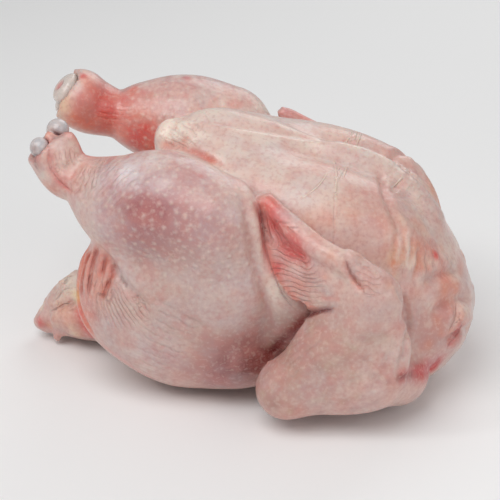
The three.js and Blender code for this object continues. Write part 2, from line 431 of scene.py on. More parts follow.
# %% Settling on the flesh
def settle(thing, field, rounds, most=2.5):
    """Moves every corner onto the surface where the field is zero, the way the field grows fastest."""
    reach = 0.05
    for _ in range(rounds):
        p = points_of(thing)
        d = field(p)
        slope = np.stack([(field(p + reach * axis) - d) / reach for axis in np.eye(3)], axis=1)
        steep = np.maximum(np.einsum("ij,ij->i", slope, slope), 0.3)
        put(thing, p - slope * np.clip(d / steep, -most, most)[:, None])


def seed(thing, corners, thick):
    """Adds a plain wedge to a mesh, so that remeshing has something to start from there."""
    across = np.cross(corners[1] - corners[0], corners[3] - corners[0])
    across *= thick / np.linalg.norm(across)
    bm = bmesh.new()
    bm.from_mesh(thing.data)
    wedge = [bm.verts.new((p + SHIFT + side * across) * MM) for p in corners for side in (-1, 1)]
    bmesh.ops.convex_hull(bm, input=wedge)
    bm.to_mesh(thing.data)
    bm.free()


# %% Skin mesh
COARSE, FINE = 1.7 * MM, 1.33 * MM
skin = copy_of("chicken", "skin")
for side in (LEFT, RIGHT):
    seed(skin, [swung(p, side) for p in BLADE], 2)
seed(skin, [KNOT + p for p in (at(-3, 0, 0), at(0, 0, -5), at(3, 0, 0), at(0, 0, 3))], 2)
seed(skin, [QUILL + p for p in (at(-2, 0, 0), at(0, 0, -2), at(2, 0, 0), at(0, 0, 4))], 2)
finished(skin, "REMESH", mode="VOXEL", voxel_size=COARSE, adaptivity=0)
settle(skin, flesh, 3)
finished(skin, "SMOOTH", factor=0.5, iterations=3)
settle(skin, flesh, 2)
finished(skin, "REMESH", mode="VOXEL", voxel_size=FINE, adaptivity=0)
finished(skin, "SMOOTH", factor=0.5, iterations=2)
settle(skin, flesh, 1)
print("skin:", len(skin.data.vertices), "corners", len(skin.data.polygons), "faces")

# %% [markdown]
# ## Marks on the skin
#
# A fold, crease or stain is drawn as a line, much as a sculptor scratches clay. A line is either drawn in
# the frame and laid on the skin where each line of sight meets it, or given by points near the skin and
# drawn in to it. Its copy on the bird's other side is the same line mirrored and laid on the skin there.

# %% Mark helpers
STRIDE = 2.5  # pixels between two points of a line drawn in the frame
JUMP = 7.0  # a line that leaps further than this, in millimetres, left one form for another
SAME_SIDE = -0.2  # a mark stays off corners that face further round than this from it
NOT_MOVED = (0, 0, 0)


def look_up(thing):
    """Makes a thing the surface that marks are laid on."""
    global surface, points, normals
    surface = BVHTree.FromObject(thing, bpy.context.evaluated_depsgraph_get())
    points = points_of(thing)
    normals = read(thing.data.vertices, "normal")


def row(place, normal):
    return [*(np.array(place) / MM - SHIFT), *normal]


def nearest_row(p):
    place, normal, _, _ = surface.find_nearest(Vector((p + SHIFT) * MM))
    return row(place, normal)


# %% Lines laid on the skin
def seen(*stops):
    """A smooth line drawn in the frame, as rows of point and normal on the skin."""
    flat = np.array([[u, v, 0] for u, v in stops], float)
    length = np.linalg.norm(np.diff(flat, axis=0), axis=1).sum()
    found = []
    for u, v, _ in curve(flat, max(2, int(length / STRIDE))):
        place, normal, _, _ = surface.ray_cast(eye, sight(u, v))
        if place is not None:
            found.append(row(place, normal))
    return np.array(found).reshape(-1, 6)


def laid(*stops, spans=24):
    """A smooth line through points near the skin, drawn in to it."""
    return np.array([nearest_row(p[:3]) for p in curve(stops, spans)])


def mirrored(line, moved=NOT_MOVED):
    """The same line on the bird's other side, moved a little where that side lies differently."""
    found = [nearest_row(p) for p in line[:, :3] * at(1, -1, 1) + np.array(moved, float)]
    return np.array(found).reshape(-1, 6)


def kept(line, field, reach=3.0):
    """The part of a line that lies on one of the forms."""
    return line[np.abs(field(line[:, :3])) < reach]


# %% Corners beside a line
def beside(line, reach):
    """The corners near a line: which they are, how far off, on which side, and how far along it."""
    off, side, along = (np.zeros(len(points)) for _ in range(3))
    off += np.inf
    for i, (a, b) in enumerate(zip(line, line[1:])):
        step = (b - a)[:3]
        length = np.linalg.norm(step)
        if not 1e-6 < length < JUMP:
            continue
        low, high = np.minimum(a, b)[:3] - reach, np.maximum(a, b)[:3] + reach
        near_step = np.all((points > low) & (points < high), axis=1)
        close = np.flatnonzero(near_step & (normals @ a[3:] > SAME_SIDE))
        w = points[close] - a[:3]
        t = np.clip(w @ step / length**2, 0, 1)
        w -= t[:, None] * step
        d = np.sqrt(np.einsum("ij,ij->i", w, w))
        nearer = d < off[close]
        close, w = close[nearer], w[nearer]
        off[close] = d[nearer]
        along[close] = (i + t[nearer]) / (len(line) - 1)
        side[close] = np.einsum("ij,ij->i", np.cross(step, normals[close]), w)
    which = np.flatnonzero(off < reach)
    return which, off[which], np.sign(side[which]) * off[which], along[which]


def smooth(x, low, high):
    t = np.clip((x - low) / (high - low), 0, 1)
    return t * t * (3 - 2 * t)


def tapered(along, share=0.22):
    """Fades a mark out towards both ends of its line."""
    return smooth(along, 0, share) * smooth(1 - along, 0, share)


def bell(x):
    return np.exp(-x * x)


# %% Creases, ridges and overlaps
def crease(line, width, depth, lips=0.3, share=0.22):
    """A narrow valley with a soft swelling along each side."""
    which, off, _, along = beside(line, 4.5 * width)
    fade = tapered(along, share)
    height[which] -= fade * depth * bell(off / width)
    height[which] += fade * depth * lips * bell((off - 2.3 * width) / (1.2 * width))


def ridge(line, width, tall, share=0.22):
    """A rounded rib along a line."""
    which, off, _, along = beside(line, 3 * width)
    height[which] += tapered(along, share) * tall * bell(off / width)


def overlap(line, width, drop, share=0.12):
    """An edge of skin: high on the line's right-hand side, low on its left, both levelling out."""
    which, off, side, along = beside(line, 5 * width)
    fade = tapered(along, share) * bell(off / (3 * width))
    height[which] += fade * drop * (smooth(side, -0.5 * width, 0.5 * width) - 0.5)


def crease_both(marks, moved=NOT_MOVED, top=np.inf):
    """Creases, each (stops, width, depth), and their copies where those lie lower than top."""
    for stops, width, depth in marks:
        line = seen(*stops)
        crease(line, width, depth)
        line = mirrored(line, moved)
        crease(line[line[:, 2] < top], width, depth)


def tell(what):
    """Prints how deep and how high the marks gathered so far reach."""
    deepest, highest = round(float(height.min()), 2), round(float(height.max()), 2)
    print(what, "carved from", deepest, "to", highest, "mm")


look_up(skin)
height = np.zeros(len(points))

# %% [markdown]
# ## Folds of the thigh and the vent
#
# Skin is bigger than the flesh in it. It gathers behind the thigh where the leg is pushed forward, runs
# in a taut band between thigh and breast, and ends in a thick rolled lip over the vent.

# %% Thigh and vent
LEG_MOVED = (-12, 0, 6)  # the right leg lies further back and higher
LEGS_END = 250  # marks left of this in the frame lie on a leg
WEB_BAND = [(236, 170), (246, 188), (253, 213), (259, 240), (266, 268), (274, 294), (288, 318)]
WEB_CREASE = [(236, 190), (244, 208), (249, 235), (254, 262), (262, 292), (271, 318), (280, 346)]
WEB_FAR_CREASE = [(257, 196), (262, 218), (265, 244), (272, 270), (284, 296), (300, 314)]
DRUM_EDGE = [(98, 243), (108, 256), (117, 270), (127, 284), (138, 296), (154, 306)]
REAR_FOLDS = [
    [(99, 246), (94, 258), (90, 275), (88, 300)],
    [(105, 254), (104, 266), (101, 278)],
    [(112, 262), (112, 276), (106, 288), (101, 302)],
    [(93, 248), (86, 262), (82, 282), (82, 300)],
]
REAR_EDGE = [(97, 243), (87, 250), (81, 268), (78, 290), (81, 310), (90, 329), (99, 342)]
VENT_LIP = [(156, 146), (170, 145), (183, 148), (197, 153), (211, 160), (227, 169)]
VENT_ROLL = [(160, 143), (160, 133), (165, 125), (176, 118)]
SHOWN_TOP = 88  # the right leg's folds above this height would face the breast
line = seen(*WEB_BAND)
ridge(line, 4.4, 1.0)
line = mirrored(line, LEG_MOVED)
ridge(line[line[:, 2] < SHOWN_TOP], 3.4, 1.5)
ridge(seen(*VENT_ROLL), 3.2, 1.3)
THIGH_MARKS = [
    (WEB_CREASE, 1.8, 0.8), (WEB_FAR_CREASE, 2.0, 0.6), (DRUM_EDGE, 2.0, 1.4), (REAR_EDGE, 1.6, 1.5),
    *((fold, 1.4, 1.5) for fold in REAR_FOLDS),
]
crease_both(THIGH_MARKS, LEG_MOVED, SHOWN_TOP)
crease(kept(seen(*VENT_LIP), body), 1.6, 1.6)
overlap(seen(*DRUM_EDGE), 2.0, -1.2)
tell("thigh and vent")

# %% [markdown]
# ## Wings
#
# The hand is a thin blade: the finger bones run along its upper edge, and the skin behind them, where
# the flight feathers were, is gathered in fine ridges. A short thumb lies over the wrist.

# %% Wings
WING_MOVED = (-4, 0, 4)  # the right wing too lies a little further back and higher
HAND_BONE = [(269, 207), (282, 219), (300, 232), (320, 247), (340, 262)]
HAND_GROOVE = [(268, 214), (277, 230), (287, 246), (297, 260), (312, 272)]
HAND_EDGE = [(262, 205), (264, 225), (268, 246), (273, 266), (283, 284), (298, 300), (316, 309), (330, 312)]
THUMB_CREASE = [(344, 257), (349, 270), (355, 281), (366, 292)]
ELBOW_CREASE = [(306, 318), (313, 314), (323, 311), (336, 309)]
ELBOW_SHADE = [(310, 312), (301, 322), (293, 331), (281, 343), (269, 354), (257, 366)]
WING_FRONT = [(394, 282), (402, 297), (407, 318), (407, 338), (402, 358), (396, 378)]
SHOULDER_FOLD = [(403, 322), (398, 342), (387, 361), (378, 382), (372, 400)]
WING_MARKS = [
    (HAND_GROOVE, 1.5, 0.9), (THUMB_CREASE, 1.4, 1.5), (ELBOW_CREASE, 1.5, 1.4), (WING_FRONT, 1.6, 1.8),
    (SHOULDER_FOLD, 1.6, 0.7),
]
crease_both(WING_MARKS, WING_MOVED)
line = seen(*HAND_BONE)
ridge(line, 2.2, 0.2)
ridge(mirrored(line, WING_MOVED), 2.2, 0.2)
tell("wings")

# %% [markdown]
# ## Breast and neck
#
# The breast skin is nearly smooth: a valley runs beside the keel, a forked crease pulls towards the
# wing's root, and loose fatty skin is gathered round the neck.

# %% Breast and neck
KEEL_LINE = [(163, 125), (201, 126), (251, 132), (315, 143), (361, 149), (389, 161), (418, 178), (434, 197)]
KEEL_VALLEY = [(206, 121), (251, 127), (300, 136), (345, 142), (385, 154), (415, 170), (433, 188)]
FORKED_CREASE = [(379, 166), (382, 182), (386, 198), (393, 214), (399, 230), (402, 246)]
FORK_ARMS = [
    [(386, 196), (395, 188), (404, 178)],
    [(386, 197), (400, 197), (420, 199)],
    [(390, 203), (404, 214), (418, 228), (430, 241), (440, 256)],
]
FAT_FOLDS = [
    [(404, 222), (404, 242), (400, 262)],
    [(411, 232), (411, 250), (406, 268)],
    [(418, 246), (417, 264), (412, 282)],
    [(396, 230), (395, 250), (392, 270)],
]
NECK_FOLDS = [
    [(463, 316), (460, 328), (453, 339), (445, 350)],
    [(456, 300), (455, 318), (447, 334)],
    [(396, 380), (412, 375), (428, 371), (442, 355)],
]
ridge(seen(*KEEL_LINE), 1.7, 0.9, share=0.1)
crease(seen(*KEEL_VALLEY), 3.2, 1.5, share=0.1)
BREAST_MARKS = [
    (FORKED_CREASE, 1.7, 1.4),
    *((arm, 1.5, 0.8) for arm in FORK_ARMS),
    *((fold, 1.5, 0.9) for fold in FAT_FOLDS),
    *((fold, 1.8, 1.2) for fold in NECK_FOLDS[:2]),
    (NECK_FOLDS[2], 1.5, 0.5),
]
crease_both(BREAST_MARKS)
tell("breast")

# %% [markdown]
# ## Lumps
#
# Fat, gristle and feather roots lift small swellings. The ones that show are put where they lie, and the
# tail and the neck end get more of them, scattered by a seeded rule. Sampling corners of the mesh itself
# spreads them evenly over the skin.

# %% Lumps
def lump(u, v, size, tall):
    """A round swelling where a line of sight meets the skin."""
    centre = seen((u, v), (u + 1, v))
    if len(centre):
        off = np.linalg.norm(points - centre[0, :3], axis=1)
        height[:] += tall * bell(off / size) * (normals @ centre[0, 3:] > SAME_SIDE)


NECK_LUMPS = [  # place in the frame, then size and height in mm
    (205, 114, 9, 1.8), (228, 112, 8, 1.0), (463, 318, 7, 1.0), (404, 248, 5, 0.9), (436, 255, 3, 0.6),
    (410, 262, 4, 0.7),
]
THUMB_LUMPS = [(350, 257, 3.2, 2.2), (347, 253, 2.2, 1.0)]
TAIL_LUMPS = [
    (72, 277, 3.4, 2.6), (61, 284, 2.6, 1.8), (66, 282, 1.6, -1.0), (54, 292, 3, -1.2),
    (50, 300, 3, 1.4), (42, 318, 3.4, 1.8), (66, 294, 2.6, 1.5), (58, 303, 2.4, 1.2),
    (52, 309, 2.2, -0.9), (62, 307, 2.0, -1.0), (64, 315, 4, 1.2), (54, 320, 3, 1.2), (72, 322, 4, 1.4),
    (80, 332, 5, 1.6), (60, 334, 3, 1.2), (46, 308, 2.2, -1.0), (50, 328, 3, -1.0), (72, 302, 2.4, -1.2),
    (74, 290, 2.4, 1.2),
]
for mark in NECK_LUMPS + TAIL_LUMPS + THUMB_LUMPS:
    lump(*mark)


def knobbly(which, count, size, tall):
    """Small swellings and dimples scattered over part of the skin."""
    for i in dice.sample(list(which), count):
        off = np.linalg.norm(points - points[i], axis=1)
        height[:] += tall * dice.uniform(-1, 1) * bell(off / (size * dice.uniform(0.7, 1.3)))


dice = random.Random(5)
knobbly(np.flatnonzero((points[:, 0] < -76) & (points[:, 2] < 52)), 110, 2.4, 1.1)
knobbly(np.flatnonzero((points[:, 0] > 92) & (points[:, 2] < 62)), 60, 4.0, 0.8)
TAIL_FOLDS = [
    [(74, 306), (66, 304), (58, 308), (48, 313)],
    [(72, 288), (66, 289), (60, 294), (56, 301)],
    [(64, 284), (67, 278), (74, 275)],
]
for stops in TAIL_FOLDS:
    crease(seen(*stops), 1.2, 0.8)
# the edge of the forearm is ragged where feathers were pulled
ARM_EDGE = [(322, 314, 0), (311, 319, 0), (300, 331, 0), (286, 345, 0), (272, 359, 0), (262, 372, 0)]
for u, v, _ in curve(ARM_EDGE, 14):
    lump(u, v, 1.2, 0.8)
tell("lumps")

# %% [markdown]
# ## Ankles, tail and neck end
#
# At the ankle the skin stops short in a ragged edge, and cords of tendon lie bare in front of it. The
# hidden sides are dressed the same way: the skin of the neck is folded in under the body, and soft
# creases run along the flanks and round the tail.

# %% Ankles and hidden sides
SLEEVE_EDGE = [(90, 158), (92, 166), (84, 175), (76, 186), (80, 195), (88, 205)]
ANKLE_SPLIT = [(45, 142), (49, 153), (49, 165), (56, 177), (66, 187), (78, 195)]
TENDONS = [
    [(56, 163), (68, 160), (84, 163)],
    [(60, 146), (64, 156), (60, 166)],
    [(58, 172), (67, 178), (76, 182)],
    [(36, 150), (38, 160), (40, 172)],
]
overlap(seen(*SLEEVE_EDGE), 1.5, 1.8)
crease(seen(*ANKLE_SPLIT), 1.3, 0.6)
for stops in TENDONS:
    ridge(seen(*stops), 1.8, 0.9)
for side in (LEFT, RIGHT):
    crease(laid((-62, side * 30, 4), (-30, side * 38, 2), (5, side * 34, 0)), 2.2, 0.8)
    crease(laid((-60, side * 14, 8), (-78, side * 13, 6), (-96, side * 8, 2)), 2.0, 0.7)
    crease(laid((-62, side * 16, 38), (-74, side * 15, 30), (-92, side * 8, 20)), 2.0, 1.0)
    for level, reach in ((30, 26), (45, 34), (60, 36)):
        fold = (104, side * 6, level), (98, side * reach * 0.6, level + 6), (86, side * reach, level + 4)
        crease(laid(*fold), 2.4, 1.9)
tell("whole skin")
put(skin, points + normals * height[:, None])
finished(skin, "SMOOTH", factor=0.3, iterations=1)  # takes the sharpest corners off

# %% [markdown]
# ## Fine wrinkles
#
# Wrinkles finer than the mesh are kept as numbers on its corners. A single wrinkle is kept as how far
# each corner is from it, with a sign for the side; a strip of pleats as a count that grows evenly across
# the strip. Between corners these numbers run evenly, so the material can draw each line sharp.

# %% Wrinkle helpers
look_up(skin)
WRINKLE_REACH = 4.0
wrinkle_off = np.full(len(points), WRINKLE_REACH)
wrinkle_side = np.full(len(points), WRINKLE_REACH)
wrinkle_strength = np.zeros(len(points))
pleat_count = np.zeros(len(points))
pleat_strength = np.zeros(len(points))


def keep_on(thing, name, kind, key, numbers):
    """Keeps numbers on a thing's corners under a name, for its material to read."""
    layer = thing.data.attributes.new(name, kind, "POINT")
    layer.data.foreach_set(key, np.asarray(numbers, np.float32).ravel())


def scratch(line, strength=1.0, share=0.25):
    """A single wrinkle. A strength below nothing makes a pale raised streak instead of a groove."""
    which, off, side, along = beside(line, WRINKLE_REACH)
    nearer = off < wrinkle_off[which]
    which = which[nearer]
    wrinkle_off[which] = off[nearer]
    wrinkle_side[which] = side[nearer]
    wrinkle_strength[which] = strength * tapered(along[nearer], share)


def pleats(first, last, count, strength=1.0, share=0.3):
    """Wrinkles side by side, filling the strip between two lines."""
    if len(first) < 2 or len(last) < 2:
        return
    gaps = np.array([np.linalg.norm(last[:, :3] - p, axis=1).min() for p in first[:, :3]])
    reach = gaps.max() + 4
    near_first, off, _, along = beside(first, reach)
    near_last, far_off, _, far_along = beside(last, reach)
    both, here, there = np.intersect1d(near_first, near_last, return_indices=True)
    a, b = off[here], far_off[there]
    gap = np.interp(along[here], np.linspace(0, 1, len(gaps)), gaps)
    power = strength * tapered((along[here] + far_along[there]) / 2, share)
    power *= 1 - smooth((a + b) / gap, 1.25, 1.6)
    stronger = power > pleat_strength[both]
    pleat_strength[both[stronger]] = power[stronger]
    pleat_count[both[stronger]] = (count * a / (a + b))[stronger]


# %% Wrinkles
SEEN_PLEATS = [  # first line, last line, how many, how strong, where the mirrored ones go
    ([(106, 260), (101, 285), (103, 306), (112, 330)],
     [(117, 272), (128, 290), (141, 308), (160, 330)], 9, 0.9, LEG_MOVED),
    ([(97, 298), (98, 320), (106, 338)], [(112, 322), (128, 338), (150, 350)], 5, 0.4, LEG_MOVED),
    ([(112, 352), (135, 365), (160, 376)], [(160, 318), (185, 330), (215, 336)], 9, 0.35, LEG_MOVED),
    ([(88, 182), (100, 168), (112, 156)], [(104, 238), (120, 216), (136, 200)], 9, 0.5, LEG_MOVED),
    ([(84, 256), (79, 280), (80, 306)], [(115, 264), (112, 286), (104, 308)], 6, 1.0, LEG_MOVED),
    ([(268, 240), (284, 246), (304, 258)], [(290, 294), (312, 300), (340, 300)], 9, 0.8, WING_MOVED),
    ([(264, 206), (265, 224), (268, 240)], [(276, 210), (292, 226), (306, 242)], 4, 1.0, WING_MOVED),
    ([(262, 372), (292, 344), (326, 316)], [(275, 388), (305, 360), (340, 330)], 3, 0.4, WING_MOVED),
    ([(352, 258), (362, 262), (374, 272)], [(366, 290), (376, 296), (388, 304)], 4, 0.5, WING_MOVED),
    ([(160, 132), (170, 141), (184, 149)], [(182, 120), (198, 132), (216, 144)], 3, 0.5, NOT_MOVED),
    ([(404, 232), (408, 256), (404, 282)], [(440, 250), (448, 272), (446, 296)], 5, 0.5, NOT_MOVED),
    ([(386, 182), (400, 172), (414, 168)], [(392, 208), (410, 214), (432, 224)], 4, 0.4, NOT_MOVED),
    ([(450, 300), (452, 318), (446, 336)], [(468, 302), (470, 318), (462, 336)], 4, 0.3, NOT_MOVED),
    ([(94, 90), (112, 98), (132, 102)], [(96, 120), (116, 122), (142, 118)], 5, 0.25, LEG_MOVED),
    ([(70, 276), (60, 285), (50, 298)], [(78, 300), (68, 308), (56, 316)], 4, 0.6, LEG_MOVED),
    ([(52, 152), (54, 164), (62, 176)], [(72, 146), (74, 158), (80, 168)], 4, 0.5, LEG_MOVED),
    ([(86, 164), (80, 176), (76, 190)], [(100, 160), (96, 178), (94, 198)], 3, 0.8, LEG_MOVED),
]
for first, last, count, strength, moved in SEEN_PLEATS:
    edges = seen(*first), seen(*last)
    pleats(*edges, count, strength)
    pleats(mirrored(edges[0], moved), mirrored(edges[1], moved), count, 0.6 * strength)
THIN_LINES = [[(333, 156), (335, 180), (334, 215), (331, 280)], [(200, 107), (206, 117), (210, 124)]]
FAT_STREAKS = [
    [(331, 154), (336, 168), (336, 186), (336, 205)], [(329, 171), (318, 186), (300, 200)],
    [(348, 165), (343, 178)], [(404, 176), (392, 188)],
]
for lines, strength in ((THIN_LINES, 0.35), (FAT_STREAKS, -1.0), (NECK_FOLDS[:2], 0.8)):
    for stops in lines:
        line = seen(*stops)
        scratch(line, strength)
        scratch(mirrored(line), strength)
LIP_FOLDS = [[(165, 124), (178, 133), (190, 141), (200, 150)], [(163, 137), (176, 142), (189, 148)]]
for stops in LIP_FOLDS:
    scratch(seen(*stops), 0.45)
for stops in (*TAIL_FOLDS, THUMB_CREASE, WEB_FAR_CREASE, ELBOW_CREASE):
    scratch(seen(*stops), 0.9)
for stops in (*REAR_FOLDS, ANKLE_SPLIT):
    scratch(seen(*stops), 0.6)
for name, numbers in (
    ("wrinkle", (wrinkle_side, wrinkle_off, wrinkle_strength)),
    ("pleat", (pleat_count, pleat_strength, np.zeros(len(points)))),
):
    keep_on(skin, name, "FLOAT_VECTOR", "vector", np.column_stack(numbers))
print("pleated corners:", int((pleat_strength > 0.05).sum()))

# %% [markdown]
# ## Bone ends
#
# Each ankle was cut through its joint. On the left the shin ends in two rounded knuckles of wet, bluish
# cartilage with a notch between them. On the right the cut face shows a pale ring round pink marrow.

# %% Bone ends
BONE_SQUARE = 0.45 * MM
BONE_PIECES = [(LEFT, "left_leg_bone", "left_knuckles"), (RIGHT, "right_leg_bone", "right_cut_bone")]
knuckles = {}
for side, node, name in BONE_PIECES:
    piece = copy_of(node, name)
    finished(piece, "REMESH", mode="VOXEL", voxel_size=BONE_SQUARE, adaptivity=0)
    settle(piece, BONE[side], 4, most=1.5)
    finished(piece, "SMOOTH", factor=0.5, iterations=2)
    knuckles[side] = piece
    print(name, len(piece.data.polygons), "faces")

# %% Notch and marrow
look_up(knuckles[LEFT])
height = np.zeros(len(points))
KNUCKLE_GROOVES = [[(50, 130), (55, 134), (62, 137)], [(34, 146), (36, 154), (37, 162)]]
for stops in KNUCKLE_GROOVES:
    crease(seen(*stops), 0.8, 0.5, share=0.1)
put(knuckles[LEFT], points + normals * height[:, None])
tell("knuckles")
MARROW = at(-99.3, 22.4, 126)
MARROW_SIZE = at(2.5, 2.4, 3.6)
MARROW_DEPTH = 1.0


def marrow_share():
    """1 in the middle of the marrow, falling to nothing past its edge."""
    return bell(np.linalg.norm((points - MARROW) / MARROW_SIZE, axis=1) ** 2)


look_up(knuckles[RIGHT])
height = -MARROW_DEPTH * marrow_share()
put(knuckles[RIGHT], points + normals * height[:, None])
tell("cut bone")

# %% [markdown]
# ## Colours of the flesh
#
# Raw skin is a thin veil: where fat lies under it, it is cream; over dark leg meat it looks purple; at
# folds and at the thin wing tips the flesh shines through orange or red, and the shade deep in folds
# is painted on too. The colours are kept as paint on the mesh, laid on in soft washes and in lines, so
# they follow the folds exactly.

# %% Paints
def paint(red, green, blue):
    """A colour given as 0 to 255 steps, as the share of light it gives back."""
    c = np.array([red, green, blue]) / 255
    return np.where(c <= 0.04045, c / 12.92, ((c + 0.055) / 1.055) ** 2.4)


CREAM = paint(232, 213, 200)
FAT = paint(236, 204, 166)
SKIN = paint(216, 192, 182)
LILAC = paint(206, 190, 193)
PINK = paint(212, 166, 156)
MEAT = paint(186, 128, 122)
PLUM = paint(168, 100, 102)
RAW = paint(224, 104, 74)
RED = paint(212, 50, 48)
BLOOD_RED = paint(186, 26, 34)
# dark red for real blood at the ankle notches and neck, and for painted shade in folds and beside the
# forearm
BLOOD_AND_SHADE = paint(112, 16, 16)
# a dark red for painted shade in the deepest creases
PAINTED_SHADE_RED = paint(112, 10, 12)
# dark purple for a bruise by the knuckles, and for painted shade low on the thigh and where drumstick meets
# thigh
BRUISE_AND_SHADE = paint(104, 60, 64)
SHADE = paint(150, 110, 104)
ORANGE = paint(222, 140, 106)
OLIVE = paint(196, 176, 148)
CARTILAGE = paint(192, 188, 190)
FADED = 2.2  # a wash or a stain is gone this many of its sizes away
WASH_SIDE = -0.4  # a wash stays off corners that face further round than this from its place


# %% Brushes
def start_painting(thing, colour):
    global tint
    look_up(thing)
    tint = np.tile(colour, (len(points), 1))


def blend(which, colour, share):
    """Moves the tint of some corners towards a colour, each by its own share."""
    share = np.clip(share, 0, 1)[:, None]
    tint[which] = tint[which] * (1 - share) + colour * share


def wash(place, size, colour, strength, moved=None):
    """Tints the skin round a place in the frame, or round that place's copy, fading outwards."""
    line = seen(place, (place[0] + 1, place[1]))
    if moved is not None:
        line = mirrored(line[:1], moved)
    if len(line):
        off = np.linalg.norm(points - line[0, :3], axis=1)
        near = np.flatnonzero((off < FADED * size) & (normals @ line[0, 3:] > WASH_SIDE))
        blend(near, colour, strength * bell(off[near] / size))


def stain(line, width, colour, strength, share=0.2):
    """Tints the skin along a line, fading to its sides and its ends."""
    which, off, _, along = beside(line, FADED * width)
    blend(which, colour, strength * bell(off / width) * tapered(along, share))


def save_paint(thing):
    keep_on(thing, "tint", "FLOAT_COLOR", "color", np.column_stack((tint, np.ones(len(tint)))))


# %% Base colours
start_painting(skin, SKIN)
everything = np.arange(len(points))
# how much each corner belongs to the legs, the wings and the cavity, and how low it lies, for painted shade
# on the underside
on_body = body(points)
on_leg = np.minimum(members[0](points), members[1](points))
on_wing = np.minimum(members[2](points), members[3](points))
leg_share = smooth(np.minimum(on_body, on_wing) - on_leg, -3, 3)
wing_share = smooth(np.minimum(on_body, on_leg) - on_wing, -2, 2)
inside = smooth(-cavity(points), -4, 3)
underside_shade = smooth(-points[:, 2], -48, -8)
blend(everything, PINK, 0.35 * leg_share)
blend(everything, PINK, 0.4 * wing_share)
# painted shade: pinker towards the underside
blend(everything, PINK, 0.3 * underside_shade)
blend(everything, CREAM, 0.4 * smooth(points[:, 2], 92, 112) * (1 - leg_share) * (1 - wing_share))
blend(everything, MEAT, 0.8 * inside)

# %% [markdown]
# ## Washes, mottling and stains
#
# Thin paint is laid on in the order a painter would use: broad shades first, then small mottled spots,
# then lines along the folds, and last the few places that have to stay clear. Most marks are also laid
# on the other side, moved with the leg or the wing that they lie on.

